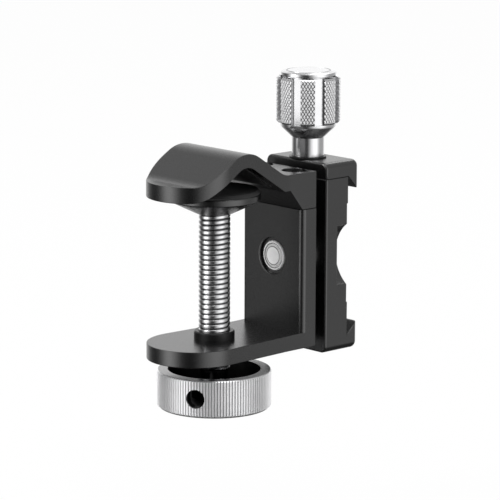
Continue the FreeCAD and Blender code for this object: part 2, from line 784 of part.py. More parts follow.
spring = doc.addObject("Part::Feature", "spring")
spring.Shape = coil(
    number("pin_diameter / 2 + spring_wire / 2 + 2 * running_gap"),
    number("spring_pocket_depth - 2 * running_gap - spring_wire"),
    number("spring_turns"), number("spring_wire / 2"),
)
SPRING_FOOT = "-base_top - spring_pocket_depth + running_gap"
put(spring, KNOB_X, "-pin_spacing / 2", SPRING_FOOT + " + spring_wire / 2")
jaw_springs = mirrored_pair("jaw_springs", spring)

# Knob with its stem, eight knurled lobes and a cap
LOBES = "washer_thickness + stem_height + knob_cone_height + knob_band_height"
LOBES_END = LOBES + " + lobe_height"
KNOB_END = LOBES_END + " + cap_height"
LOBE_EASE = "(lobe_diameter - knob_diameter) / 4"
knob = turned(
    "knob",
    [
        ("draw_screw_thread / 2", "washer_thickness"),
        ("stem_diameter / 2", "washer_thickness"),
        ("stem_diameter / 2", "washer_thickness + stem_height"),
        ("knob_diameter / 2", "washer_thickness + stem_height + knob_cone_height"),
        ("knob_diameter / 2", LOBES),
        ("lobe_diameter / 2 - " + LOBE_EASE, LOBES),
        ("lobe_diameter / 2", LOBES + " + " + LOBE_EASE),
        ("lobe_diameter / 2", LOBES_END + " - " + LOBE_EASE),
        ("lobe_diameter / 2 - " + LOBE_EASE, LOBES_END),
        ("knob_diameter / 2", LOBES_END),
        ("knob_diameter / 2", KNOB_END + " - cap_chamfer"),
        ("knob_diameter / 2 - cap_chamfer", KNOB_END),
        ("0", KNOB_END),
        ("0", "washer_thickness + draw_screw_in_knob"),
        ("draw_screw_thread / 2", "washer_thickness + draw_screw_in_knob"),
    ],
)
flute = knob.newObject("PartDesign::SubtractiveBox", "flute")
FLUTE_WIDTH = "knob_diameter * sin(flute_angle / 2)"
bind(flute, Length="lobe_diameter", Width=FLUTE_WIDTH, Height="lobe_height")
put(flute, "knob_diameter / 2 * cos(flute_angle / 2)", f"-({FLUTE_WIDTH}) / 2", LOBES)
flutes = knob.newObject("PartDesign::PolarPattern", "flutes")
flutes.Originals = [flute]
flutes.Axis = (plane(knob, "Z_Axis"), [""])
flutes.Angle = 360
bind(flutes, Occurrences="lobe_count")
knob.Tip = flutes
HALF_LOBE = Rotation(Vector(0, 0, 1), number("180 / lobe_count"))
put(knob, KNOB_X, "0", "-jaw_top", HALF_LOBE)

knob_washer = turned(
    "knob_washer",
    [
        ("draw_screw_thread / 2 + running_gap", "0"),
        ("washer_diameter / 2", "0"),
        ("washer_diameter / 2", "washer_thickness"),
        ("draw_screw_thread / 2 + running_gap", "washer_thickness"),
    ],
)
put(knob_washer, KNOB_X, "0", "-jaw_top")

draw_screw = doc.addObject("Part::Cylinder", "draw_screw")
DRAW_SCREW_TOP = "-jaw_top + washer_thickness + draw_screw_in_knob"
bind(draw_screw, Radius="draw_screw_thread / 2", Height=f"{DRAW_SCREW_TOP} - ({DRAW_SCREW_END})")
put(draw_screw, KNOB_X, "0", DRAW_SCREW_END)

# Fastener that holds the two clamps together
MOUNT_END = "spine_inner + mount_end_sink"
MOUNT_SEAT = HEAD_FLOOR + " + lock_washer_thickness"
mount_screw = turned(
    "mount_screw",
    [
        ("0", "0"),
        ("mount_thread / 2 - 0.3", "0"),
        ("mount_thread / 2", "0.3"),
        ("mount_thread / 2", f"{MOUNT_SEAT} - ({MOUNT_END})"),
        ("mount_head / 2", f"{MOUNT_SEAT} - ({MOUNT_END})"),
        ("mount_head / 2", f"{MOUNT_SEAT} - ({MOUNT_END}) + mount_head_height"),
        ("0", f"{MOUNT_SEAT} - ({MOUNT_END}) + mount_head_height"),
    ],
)
hexagon(
    mount_screw, "mount_hexagon", "mount_socket", "mount_head_height",
    z=f"{MOUNT_SEAT} - ({MOUNT_END}) + mount_head_height - 1.8",
)
put(mount_screw, MOUNT_END, "0", "-mount_height", TO_X)

mount_screw_washer = turned(
    "mount_screw_washer",
    [
        ("mount_thread / 2 + 0.1", "0"),
        ("mount_head / 2", "0"),
        ("mount_head / 2", "lock_washer_thickness"),
        ("mount_thread / 2 + 0.1", "lock_washer_thickness"),
    ],
)
put(mount_screw_washer, HEAD_FLOOR, "0", "-mount_height", TO_X)

spine_insert = turned(
    "spine_insert",
    [
        ("mount_thread / 2", "0.3"),
        ("mount_thread / 2 + 0.3", "0"),
        ("ring_outer / 2 - 0.25", "0"),
        ("ring_outer / 2", "0.25"),
        ("ring_outer / 2", "spine_thickness - ring_rise"),
        ("mount_thread / 2", "spine_thickness - ring_rise"),
    ],
)
put(spine_insert, "spine_inner + ring_rise", "0", "-mount_height", TO_X)

locating_pin = doc.addObject("Part::Cylinder", "locating_pin")
bind(locating_pin, Radius="locating_pin_diameter / 2", Height="locating_pin_length")
put(
    locating_pin, SPINE_BACK + " - locating_pin_length / 2", "-locating_pin_offset",
    "-mount_height", TO_X,
)
base_locating_pins = mirrored_pair("base_locating_pins", locating_pin)

# Check and export
NODES = (
    "clamp_frame upper_jaw upper_jaw_screws jaw_liner_front jaw_liner_rear threaded_bush "
    "clamp_screw handwheel handwheel_screw pressure_pad pad_facing pad_retaining_ring "
    "clamp_base moving_jaw guide_pins jaw_springs knob knob_washer draw_screw "
    "mount_screw mount_screw_washer spine_insert base_locating_pins"
).split()
doc.recompute()
for item in doc.Objects:
    faults = [state for state in item.State if state in ("Invalid", "Error")]
    if faults:
        raise RuntimeError(f"{item.Label}: {faults}")
for name in NODES:
    shape = next(item for item in doc.Objects if item.Label == name).Shape
    if shape.isNull() or not shape.isValid():
        raise RuntimeError(f"{name} has no valid shape")
    shape.exportStep(f"parts/{name}.step")
    box = shape.BoundBox
    print(f"{name}: {len(shape.Solids)} solids, {shape.Volume:.1f} mm3, "
          f"X {box.XMin:.2f}..{box.XMax:.2f} Y {box.YMin:.2f}..{box.YMax:.2f} "
          f"Z {box.ZMin:.2f}..{box.ZMax:.2f}")
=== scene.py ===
# %% [markdown]
# # A dovetail quick release clamp on a small screw clamp
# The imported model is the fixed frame: every piece already has its real size and place there.
# This file dresses it. The fine forms that only the eye needs are modelled here: the thread of
# the screw, the diamond knurl of the knob, and the broken edges of the black parts. Each
# surface then gets a material that is worked out from mathematics instead of pictures.

import math

import bmesh
import bpy
from mathutils import Matrix, Vector


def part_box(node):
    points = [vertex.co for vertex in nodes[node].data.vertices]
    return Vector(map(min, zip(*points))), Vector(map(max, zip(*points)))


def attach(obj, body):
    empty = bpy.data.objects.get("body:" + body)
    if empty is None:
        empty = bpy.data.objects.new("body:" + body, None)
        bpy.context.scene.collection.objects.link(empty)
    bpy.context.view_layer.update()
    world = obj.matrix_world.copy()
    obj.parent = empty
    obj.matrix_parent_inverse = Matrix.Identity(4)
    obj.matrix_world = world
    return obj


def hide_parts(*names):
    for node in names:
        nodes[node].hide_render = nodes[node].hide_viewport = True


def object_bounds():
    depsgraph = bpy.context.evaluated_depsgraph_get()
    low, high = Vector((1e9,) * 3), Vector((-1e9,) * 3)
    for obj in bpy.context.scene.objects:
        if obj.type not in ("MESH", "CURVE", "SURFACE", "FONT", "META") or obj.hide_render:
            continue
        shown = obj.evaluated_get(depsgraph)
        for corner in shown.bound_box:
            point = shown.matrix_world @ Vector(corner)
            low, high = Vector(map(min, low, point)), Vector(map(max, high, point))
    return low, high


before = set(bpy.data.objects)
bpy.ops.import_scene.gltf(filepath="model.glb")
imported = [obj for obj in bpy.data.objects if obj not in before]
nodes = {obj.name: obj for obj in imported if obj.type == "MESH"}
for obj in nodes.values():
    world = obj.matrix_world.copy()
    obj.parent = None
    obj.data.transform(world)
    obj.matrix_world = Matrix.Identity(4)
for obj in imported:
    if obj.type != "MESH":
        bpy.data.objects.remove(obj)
MM = 0.001
cad_low, cad_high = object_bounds()
print("frame:", len(nodes), "nodes, size in mm", [round(v / MM, 1) for v in cad_high - cad_low])

# %% [markdown]
# ## Camera
# A product photograph of a small part is taken from far away with a long lens, so that the
# part isn't stretched. The camera stands about 0.75 m away, to the left and a little above,
# and is only turned and tilted, with no lens shift. Its roll is under half a degree.

# %% Camera
CAMERA_PLACE = Vector((-495.4, -542.9, 123.8)) * MM
CAMERA_TURN = 43.068
CAMERA_PITCH = -11.216
CAMERA_ROLL = 0.251
LENS = 217.6

camera_data = bpy.data.cameras.new("camera")
camera = bpy.data.objects.new("camera", camera_data)
bpy.context.scene.collection.objects.link(camera)
camera.location = CAMERA_PLACE
turn = Matrix.Rotation(math.radians(-CAMERA_TURN), 3, "Z")
tilt = Matrix.Rotation(math.radians(90 + CAMERA_PITCH), 3, "X")
roll = Matrix.Rotation(math.radians(CAMERA_ROLL), 3, "Z")
camera.rotation_euler = (turn @ tilt @ roll).to_euler()
camera_data.lens = LENS
camera_data.sensor_width = 36
camera_data.clip_start = 0.05
camera_data.clip_end = 20
bpy.context.scene.camera = camera
bpy.context.scene.view_settings.view_transform = "Standard"
print("camera at", [round(v, 3) for v in camera.location], "lens", LENS)

# %% [markdown]
# ## Helpers for node trees
# A material, the world and a node group are all trees of nodes. A node has sockets, which are
# either linked or filled in with a plain value. The same few nodes come back everywhere, so
# each has a helper that adds it, feeds its inputs and gives back its output.

# %% Helpers for node trees
MIX_FACTOR, MIX_FIRST, MIX_SECOND, MIX_RESULT = 0, 6, 7, 2


def feed(tree, socket, value):
    """Links another socket to this one, or fills in a plain number or colour."""
    if isinstance(value, bpy.types.NodeSocket):
        tree.links.new(value, socket)
    else:
        socket.default_value = value


def math_node(tree, operation, *values):
    """The result of a sum, a product or another operation."""
    node = tree.nodes.new("ShaderNodeMath")
    node.operation = operation
    for socket, value in zip(node.inputs, values):
        feed(tree, socket, value)
    return node.outputs[0]


def mapped(tree, value, start, end, smooth=False):
    """Maps a value from one range, given as (low, high), to another, and holds it there."""
    node = tree.nodes.new("ShaderNodeMapRange")
    if smooth:
        node.interpolation_type = "SMOOTHSTEP"
    for label, limit in zip(("From Min", "From Max", "To Min", "To Max"), (*start, *end)):
        feed(tree, node.inputs[label], limit)
    feed(tree, node.inputs["Value"], value)
    return node.outputs["Result"]


def mixed(tree, factor, first, second, blend="MIX"):
    """The result of blending two colours."""
    node = tree.nodes.new("ShaderNodeMix")
    node.data_type = "RGBA"
    node.blend_type = blend
    feed(tree, node.inputs[MIX_FACTOR], factor)
    feed(tree, node.inputs[MIX_FIRST], first)
    feed(tree, node.inputs[MIX_SECOND], second)
    return node.outputs[MIX_RESULT]


def ramp(tree, value, stops, interpolation="LINEAR"):
    """Colours along a value, from stops of (position, colour)."""
    node = tree.nodes.new("ShaderNodeValToRGB")
    band = node.color_ramp
    band.interpolation = interpolation
    while len(band.elements) < len(stops):
        band.elements.new(0.5)
    for element, (position, colour) in zip(band.elements, stops):
        element.position = position
        element.color = (*colour, 1)
    feed(tree, node.inputs["Fac"], value)
    return node.outputs["Color"]


def camera_sees(tree, lit, shown, share, output):
    """Shows the camera a share of one shader, while everything else gets the lit one."""
    light_path = tree.nodes.new("ShaderNodeLightPath")
    mix = tree.nodes.new("ShaderNodeMixShader")
    factor = math_node(tree, "MULTIPLY", light_path.outputs["Is Camera Ray"], share)
    tree.links.new(factor, mix.inputs["Fac"])
    tree.links.new(lit.outputs[0], mix.inputs[1])
    tree.links.new(shown.outputs[0], mix.inputs[2])
    tree.links.new(mix.outputs[0], tree.nodes[output].inputs["Surface"])


def grey(tone):
    return (tone, tone, tone)


# %% [markdown]
# ## Floor and background
# Shops cut such photographs out on pure white. A large pale floor does the same work here.
# What the camera sees of it is mostly its own white, mixed with a little of the lit surface,
# so that a faint shadow stays. The floor lies 30 mm under the part, because the handwheel
# comes down by almost that much when the clamp opens. Black gloss would mirror a whole floor
# of white, which the photograph doesn't show, so the floor is left out of mirrors.

# %% Floor
FLOOR_DROP = 30 * MM
FLOOR_HEIGHT = cad_low.z - FLOOR_DROP
FLOOR_SIZE = 12.0
FLOOR_TONE = 0.9
WHITE_SHARE = 0.955


def deselect_all():
    if bpy.context.mode != "OBJECT":
        bpy.ops.object.mode_set(mode="OBJECT")
    bpy.ops.object.select_all(action="DESELECT")


deselect_all()
bpy.ops.mesh.primitive_plane_add(size=FLOOR_SIZE, location=(0, 0, FLOOR_HEIGHT))
floor = bpy.context.object
floor.name = "floor"
floor.visible_glossy = False

floor_material = bpy.data.materials.new("pale_floor")
floor_material.use_nodes = True
tree = floor_material.node_tree
lit = tree.nodes["Principled BSDF"]
lit.inputs["Base Color"].default_value = (*grey(FLOOR_TONE), 1)
lit.inputs["Roughness"].default_value = 0.9
white = tree.nodes.new("ShaderNodeEmission")
white.inputs["Color"].default_value = (1, 1, 1, 1)
camera_sees(tree, lit, white, WHITE_SHARE, "Material Output")
floor.data.materials.append(floor_material)
print("floor at z =", round(FLOOR_HEIGHT / MM, 2), "mm")

# %% [markdown]
# ## The studio
# Polished metal and black gloss show what stands around them. Photographers put such a part in
# a white tent with a few dark cards, and the cards draw the dark bands on the knob and the
# screw. Lamps alone would only leave spots of light on it. So the world is that tent: its tone
# changes with the compass direction, counted in degrees from the camera's side, and is one
# even grey overhead and a dark card below. The tones were set by comparing renders
# with the photograph. The camera itself sees plain white behind the part, and mirrors don't.

# %% World
TENT = [
    (-180, 1.15), (-150, 1.0), (-136, 0.4), (-115, 0.1), (-98, 0.12), (-84, 0.7), (-72, 2.0),
    (-60, 2.5), (-48, 1.4), (-32, 0.2), (-16, 0.05), (-2, 0.05), (10, 0.4), (26, 1.1),
    (42, 1.5), (58, 1.7), (70, 1.3), (84, 0.6), (100, 0.45), (135, 0.5), (150, 1.0), (180, 1.15),
]
OVERHEAD = 0.55
BELOW = 0.08
BRIGHTEST = max(tone for _, tone in TENT)
CEILING_FADE = (18, 45)
GROUND_FADE = (-16, -38)


def heights(fade):
    """The upward parts of two directions that are given in degrees over the horizon."""
    return tuple(math.sin(math.radians(degrees)) for degrees in fade)


world = bpy.data.worlds.new("studio")
bpy.context.scene.world = world
world.use_nodes = True
tree = world.node_tree
direction = tree.nodes.new("ShaderNodeTexCoord").outputs["Generated"]
from_camera = tree.nodes.new("ShaderNodeVectorRotate")
from_camera.rotation_type = "Z_AXIS"
from_camera.inputs["Angle"].default_value = math.radians(90 + CAMERA_TURN)
tree.links.new(direction, from_camera.inputs["Vector"])
sides = tree.nodes.new("ShaderNodeSeparateXYZ")
tree.links.new(from_camera.outputs[0], sides.inputs[0])
compass = math_node(tree, "ARCTAN2", sides.outputs["Y"], sides.outputs["X"])
compass = math_node(tree, "MULTIPLY_ADD", compass, 1 / (2 * math.pi), 0.5)
stops = [(degrees / 360 + 0.5, grey(tone / BRIGHTEST)) for degrees, tone in TENT]
walls = ramp(tree, compass, stops, "EASE")
upward = mapped(tree, sides.outputs["Z"], heights(CEILING_FADE), (0, 1), smooth=True)
tent = mixed(tree, upward, walls, (*grey(OVERHEAD / BRIGHTEST), 1))
downward = mapped(tree, sides.outputs["Z"], heights(GROUND_FADE), (0, 1), smooth=True)
room = mixed(tree, downward, tent, (*grey(BELOW / BRIGHTEST), 1))

lit = tree.nodes["Background"]
lit.inputs["Strength"].default_value = BRIGHTEST
tree.links.new(room, lit.inputs["Color"])
white = tree.nodes.new("ShaderNodeBackground")
white.inputs["Color"].default_value = (1, 1, 1, 1)
white.inputs["Strength"].default_value = 1.0
camera_sees(tree, lit, white, 1.0, "World Output")
print("tent with", len(TENT), "tones, brightest", BRIGHTEST)

# %% [markdown]
# ## Soft boxes
# The tent lights all sides much alike. One large box overhead gives the upward faces their
# tone. Two small ones, behind the part and at its left, graze the edges and draw the thin
# lines of light along them.

# %% Soft boxes
MIDDLE = (cad_low + cad_high) / 2
BOX_DISTANCE = 0.8


def soft_box(name, turn, height, size, watts):
    """A square lamp that looks at the part from a compass turn and a height in degrees."""
    data = bpy.data.lights.new(name, "AREA")
    data.shape = "RECTANGLE"
    data.size = size
    data.size_y = size
    data.energy = watts
    lamp = bpy.data.objects.new(name, data)
    bpy.context.scene.collection.objects.link(lamp)
    a, e = math.radians(turn), math.radians(height)
    away = Vector((math.sin(a) * math.cos(e), -math.cos(a) * math.cos(e), math.sin(e)))
    lamp.location = MIDDLE + away * BOX_DISTANCE
    lamp.rotation_euler = (-away).to_track_quat("-Z", "Y").to_euler()


soft_box("top_box", -20, 75, 0.7, 2.2)
soft_box("right_edge_box", 117, 46, 0.3, 0.8)
soft_box("left_edge_box", -122, 42, 0.3, 2.0)

# %% [markdown]
# ## Helpers for the new pieces
# A lathe leaves a piece of revolution. Spinning a drawn line would give one too, but its seam
# and its poles have to be merged afterwards. Here a flat disc is extruded and widened again
# and again, which needs no merging and closes both ends by itself. A finished piece keeps its
# object at the origin, with its place in its mesh, as the frame's pieces do.

# %% Helpers for the new pieces
def settle(piece):
    """Puts the place and turn of an object into its mesh, with its origin in the frame's."""
    deselect_all()
    piece.select_set(True)
    bpy.context.view_layer.objects.active = piece
    bpy.ops.object.transform_apply(location=True, rotation=True, scale=True)


def new_object(name, mesh):
    made = bpy.data.objects.new(name, mesh)
    bpy.context.scene.collection.objects.link(made)
    return made


def turned_piece(name, profile, axis=(0.0, 0.0), sides=96):
    """A closed piece of revolution from (radius, height) points, which starts with a disc."""
    deselect_all()
    radius, height = profile[0]
    place = (axis[0], axis[1], height)
    bpy.ops.mesh.primitive_circle_add(
        vertices=sides, radius=radius, fill_type="NGON", location=place
    )
    piece = bpy.context.object
    piece.name = name
    bpy.ops.object.mode_set(mode="EDIT")
    bpy.ops.mesh.select_all(action="SELECT")
    for next_radius, next_height in profile[1:]:
        step = (0, 0, next_height - height)
        bpy.ops.mesh.extrude_region_move(TRANSFORM_OT_translate={"value": step})
        ratio = next_radius / radius
        centre = (axis[0], axis[1], next_height)
        bpy.ops.transform.resize(value=(ratio, ratio, 1), center_override=centre)
        radius, height = next_radius, next_height
    bpy.ops.mesh.select_all(action="SELECT")
    bpy.ops.mesh.normals_make_consistent(inside=False)
    bpy.ops.object.mode_set(mode="OBJECT")
    settle(piece)
    return piece


def joined(name, parts):
    """One object made of several closed shells."""
    deselect_all()
    for part in parts:
        part.select_set(True)
    bpy.context.view_layer.objects.active = parts[0]
    bpy.ops.object.join()
    parts[0].name = name
    return parts[0]


def smooth(piece, degrees):
    """Smooth shading across every edge that is blunter than an angle."""
    deselect_all()
    piece.select_set(True)
    bpy.context.view_layer.objects.active = piece
    bpy.ops.object.shade_smooth_by_angle(angle=math.radians(degrees))


def triangles(piece):
    return sum(len(face.vertices) - 2 for face in piece.data.polygons)


# %% [markdown]
# ## The profile of the thread
# The screw under the pressure pad has a coarse metric thread with 1.25 mm from turn to turn.
# Rings stacked on a rod would look alike from afar, but a real thread climbs, and the eye sees
# it at the silhouette. The crests look broad and rounded in the photograph and the roots
# narrow, so one pitch is drawn as a smooth hump from root to root. It was fitted to that look
# and is shallower and rounder than the form in the standards. A power of the distance from the
# middle of the hump gives that shape: the higher the power, the broader the crest.

# %% Profile of the thread
PITCH = 1.25 * MM
THREAD_DEPTH = 0.55 * MM
CREST_BREADTH = 5.0
PROFILE_STEPS = 16
SCREW_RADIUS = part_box("clamp_screw")[1].x
ROOT_RADIUS = SCREW_RADIUS - THREAD_DEPTH

thread_profile = []
for step in range(PROFILE_STEPS + 1):
    share = step / PROFILE_STEPS
    fullness = 1 - abs(2 * share - 1) ** CREST_BREADTH
    thread_profile.append((ROOT_RADIUS + THREAD_DEPTH * fullness, share * PITCH))
print("thread profile:", len(thread_profile), "points, root", round(ROOT_RADIUS / MM, 2), "mm")

# %% [markdown]
# ## The thread
# The profile is drawn as a chain of edges. The Screw modifier turns it about the axis and
# lifts it by one pitch per turn, just as a lathe cuts a thread. The helix is made too long and
# is cut level at both ends with Bisect, which closes the cuts as well.

# %% Thread
PAD_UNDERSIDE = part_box("pressure_pad")[0].z
WHEEL_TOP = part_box("handwheel")[1].z
NECK_RADIUS = 3.4 * MM
THREAD_FOOT = WHEEL_TOP + SCREW_RADIUS - NECK_RADIUS
MERGE_WITHIN = 0.001 * MM
SPARE_TURNS = 3


def drawn_line(name, points):
    """A chain of edges in the XZ plane: a small plane merged to a point and extruded."""
    deselect_all()
    bpy.ops.mesh.primitive_plane_add(size=MM, location=(points[0][0], 0, points[0][1]))
    line = bpy.context.object
    line.name = name
    bpy.ops.object.mode_set(mode="EDIT")
    bpy.ops.mesh.select_all(action="SELECT")
    bpy.ops.mesh.merge(type="CENTER")
    for here, there in zip(points, points[1:]):
        step = (there[0] - here[0], 0, there[1] - here[1])
        bpy.ops.mesh.extrude_vertices_move(TRANSFORM_OT_translate={"value": step})
    bpy.ops.object.mode_set(mode="OBJECT")
    settle(line)
    return line


turns = math.ceil((PAD_UNDERSIDE - THREAD_FOOT) / PITCH) + SPARE_TURNS
low_end = THREAD_FOOT - SPARE_TURNS / 2 * PITCH
thread = drawn_line("thread", [(radius, low_end + rise) for radius, rise in thread_profile])
helix = thread.modifiers.new("helix", "SCREW")
helix.axis = "Z"
helix.screw_offset = PITCH
helix.iterations = turns
helix.steps = helix.render_steps = 48
helix.use_merge_vertices = True
helix.merge_threshold = MERGE_WITHIN
bpy.ops.object.modifier_apply(modifier=helix.name)
bpy.ops.object.mode_set(mode="EDIT")
for height, above in ((THREAD_FOOT, True), (PAD_UNDERSIDE, False)):
    bpy.ops.mesh.select_all(action="SELECT")
    bpy.ops.mesh.bisect(
        plane_co=(0, 0, height), plane_no=(0, 0, 1), use_fill=True,
        clear_inner=above, clear_outer=not above,
    )
bpy.ops.mesh.select_all(action="SELECT")
bpy.ops.mesh.remove_doubles(threshold=MERGE_WITHIN)
bpy.ops.mesh.normals_make_consistent(inside=False)
bpy.ops.object.mode_set(mode="OBJECT")
print("thread:", turns, "turns drawn,", triangles(thread), "triangles")

# %% [markdown]
# ## The plain ends of the screw
# Below its thread the screw has a neck and a spigot that sits in the hub of the handwheel.
# Its upper end is plain, with a groove for the ring that holds the pad. The ring's place comes
# from the frame, so that the groove fits it. Both ends are turned forms, and they join the
# thread as closed shells of one object, which rides on the screw and stands in for its plain
# cylinder.

# %% Plain ends of the screw
SCREW_LOW, SCREW_HIGH = (corner.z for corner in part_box("clamp_screw"))
SPIGOT_RADIUS = 2.6 * MM
HUB_TOP = WHEEL_TOP - 4.3 * MM
PAD_END_RADIUS = 2.5 * MM
GROOVE_RADIUS = 2.0 * MM
GROOVE_PLAY = 0.05 * MM
RING_LOW, RING_HIGH = (corner.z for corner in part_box("pad_retaining_ring"))

wheel_end = turned_piece("wheel_end", [
    (SPIGOT_RADIUS, SCREW_LOW),
    (SPIGOT_RADIUS, HUB_TOP),
    (NECK_RADIUS, HUB_TOP),
    (NECK_RADIUS, WHEEL_TOP),
    (SCREW_RADIUS, THREAD_FOOT),
])
pad_end = turned_piece("pad_end", [
    (PAD_END_RADIUS, PAD_UNDERSIDE),
    (PAD_END_RADIUS, RING_LOW - GROOVE_PLAY),
    (GROOVE_RADIUS, RING_LOW - GROOVE_PLAY),
    (GROOVE_RADIUS, RING_HIGH + GROOVE_PLAY),
    (PAD_END_RADIUS, RING_HIGH + GROOVE_PLAY),
    (PAD_END_RADIUS, SCREW_HIGH),
])
threaded_screw = joined("threaded_screw", [thread, wheel_end, pad_end])
smooth(threaded_screw, 30)
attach(threaded_screw, "screw")
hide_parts("clamp_screw")
print("screw:", triangles(threaded_screw), "triangles")

# %% [markdown]
# ## The sizes of the knob
# The knob is turned from bright aluminium. From below it has a stem, a cone, a band, eight
# lobes with a diamond knurl, and a cap. Its place, its height and its width over the lobes
# come from the frame, and the heights in between are named here.

# %% Sizes of the knob
knob_low, knob_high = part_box("knob")
KNOB_AXIS = ((knob_low.x + knob_high.x) / 2, 0.0, 0.0)
KNOB_FOOT = knob_low.z
STEM_RADIUS = 4.125 * MM
STEM_HEIGHT = 4.85 * MM
CONE_HEIGHT = 2.8 * MM
BAND_HEIGHT = 0.95 * MM
KNOB_RADIUS = 7.05 * MM
CAP_HEIGHT = 1.55 * MM
EDGE_EASE = 0.12 * MM
UNDERCUT = 0.35 * MM
LOBE_COUNT = 8
LOBE_RADIUS = (knob_high.x - knob_low.x) / 2
FLUTE_ANGLE = math.radians(18)
LOBE_FOOT = KNOB_FOOT + STEM_HEIGHT + CONE_HEIGHT + BAND_HEIGHT
LOBE_END = knob_high.z - CAP_HEIGHT
print("knob: lobes", round((LOBE_END - LOBE_FOOT) / MM, 2), "mm tall, radius",
      round(LOBE_RADIUS / MM, 2), "mm")

# %% [markdown]
# ## The core of the knob
# A lathe cuts everything but the lobes in one go, so this is one turned form. Its profile
# starts inside the bore, comes down and out, and goes up over the stem, the cone and the band,
# in behind the lobes and out again for the cap. The cap slopes down a little towards its rim
# and has a fine groove, which both catch the light as rings.

# %% Core of the knob
BORE_RADIUS = 2.5 * MM
BORE_DEPTH = 10.0 * MM
CAP_SLOPE = 1.35 * MM
CAP_DROP = 0.28 * MM
CAP_GROOVE = 0.14 * MM
GROOVE_FLOOR = knob_high.z - 2.5 * CAP_GROOVE
CORE_RADIUS = KNOB_RADIUS - 2 * UNDERCUT

core = turned_piece("knob_core", [
    (BORE_RADIUS, KNOB_FOOT + BORE_DEPTH),
    (BORE_RADIUS, KNOB_FOOT),
    (STEM_RADIUS - EDGE_EASE, KNOB_FOOT),
    (STEM_RADIUS, KNOB_FOOT + EDGE_EASE),
    (STEM_RADIUS, KNOB_FOOT + STEM_HEIGHT),
    (KNOB_RADIUS - EDGE_EASE, LOBE_FOOT - BAND_HEIGHT - EDGE_EASE),
    (KNOB_RADIUS, LOBE_FOOT - BAND_HEIGHT + EDGE_EASE),
    (KNOB_RADIUS, LOBE_FOOT - EDGE_EASE),
    (KNOB_RADIUS - EDGE_EASE, LOBE_FOOT),
    (CORE_RADIUS, LOBE_FOOT),
    (CORE_RADIUS, LOBE_END + UNDERCUT),
    (KNOB_RADIUS - EDGE_EASE, LOBE_END + UNDERCUT),
    (KNOB_RADIUS, LOBE_END + UNDERCUT + EDGE_EASE),
    (KNOB_RADIUS, knob_high.z - 2 * CAP_DROP),
    (KNOB_RADIUS - 0.3 * CAP_DROP, knob_high.z - 1.3 * CAP_DROP),
    (KNOB_RADIUS - CAP_DROP, knob_high.z - CAP_DROP),
    (KNOB_RADIUS - CAP_SLOPE, knob_high.z - 0.1 * CAP_DROP),
    (KNOB_RADIUS - CAP_SLOPE - CAP_GROOVE, GROOVE_FLOOR),
    (KNOB_RADIUS - CAP_SLOPE - 2 * CAP_GROOVE, GROOVE_FLOOR),
    (KNOB_RADIUS - CAP_SLOPE - 3 * CAP_GROOVE, knob_high.z),
], axis=KNOB_AXIS[:2], sides=128)
smooth(core, 30)
print("knob core:", triangles(core), "triangles")

# %% [markdown]
# ## The flutes
# Between the lobes the knob is milled flat. Eight cuts could be made in the core, but a prism
# with eight sides shows the same flats, and its corners are hidden inside the lobes. It stays
# a plain prism: the inset is a thousandth of a millimetre wide and changes nothing one sees.

# %% Flutes
HAIRLINE = 0.001 * MM
flute_radius = KNOB_RADIUS * math.cos(FLUTE_ANGLE / 2)
deselect_all()
bpy.ops.mesh.primitive_cylinder_add(
    vertices=LOBE_COUNT,
    radius=flute_radius / math.cos(math.pi / LOBE_COUNT),
    depth=LOBE_END - LOBE_FOOT,
    location=(KNOB_AXIS[0], 0, (LOBE_END + LOBE_FOOT) / 2),
)
flutes = bpy.context.object
flutes.name = "knob_flutes"
settle(flutes)
bpy.ops.object.mode_set(mode="EDIT")
bpy.ops.mesh.select_all(action="SELECT")
bpy.ops.mesh.inset(thickness=HAIRLINE)
bpy.ops.object.mode_set(mode="OBJECT")
print("flutes:", len(flutes.data.polygons), "faces")

# %% [markdown]
# ## The field of diamonds
# Two knurling rolls press crossing grooves into the metal and leave small blunt pyramids.
# Cutting the grooves one by one would be slow. A grid that is turned by 45 degrees and
# stretched has diamonds for faces, and Inset with a depth, on each face by itself, raises a
# blunt pyramid on every one. Finer diamonds blur to plain grey in a small render, so these
# are 0.8 by 1.4 mm. The field stands upright and flat for now.

# %% Field of diamonds
CELLS = 16
DIAMOND_WIDTH = 0.8 * MM
DIAMOND_TALL = 1.4 * MM
KNURL_DEPTH = 0.34 * MM
GROOVE_SLOPE = 0.15 * MM

deselect_all()
bpy.ops.mesh.primitive_grid_add(
    x_subdivisions=CELLS, y_subdivisions=CELLS, size=CELLS * MM,
    rotation=(math.pi / 2, math.pi / 4, 0),
)
lobe = bpy.context.object
lobe.name = "knob_lobe"
settle(lobe)
bpy.ops.object.mode_set(mode="EDIT")
bpy.ops.mesh.select_all(action="SELECT")
stretch = (DIAMOND_WIDTH / MM / math.sqrt(2), 1, DIAMOND_TALL / MM / math.sqrt(2))
bpy.ops.transform.resize(value=stretch, center_override=(0, 0, 0))
bpy.ops.mesh.inset(use_individual=True, thickness=GROOVE_SLOPE, depth=KNURL_DEPTH)
print("knurl field:", len(bmesh.from_edit_mesh(lobe.data).faces), "faces")

# %% [markdown]
# ## One lobe
# The field is cut to the width and height of one lobe. Its rim is pulled back and made flat,
# and a face closes it to a solid. Two slanting cuts then slope both ends, as they look in the
# photograph.

# %% One lobe
LOBE_CHAMFER = 0.5 * MM
BASE_RADIUS = LOBE_RADIUS - KNURL_DEPTH
LOBE_BACK_RADIUS = KNOB_RADIUS - 3 * UNDERCUT
lobe_width = BASE_RADIUS * (2 * math.pi / LOBE_COUNT - FLUTE_ANGLE)
lobe_tall = LOBE_END - LOBE_FOOT
lobe_depth = LOBE_RADIUS - LOBE_BACK_RADIUS


def cut(place, normal, closed):
    """Cuts the piece in edit mode by a plane and drops what lies in front of it."""
    bpy.ops.mesh.select_all(action="SELECT")
    bpy.ops.mesh.bisect(plane_co=place, plane_no=normal, use_fill=closed, clear_outer=True)


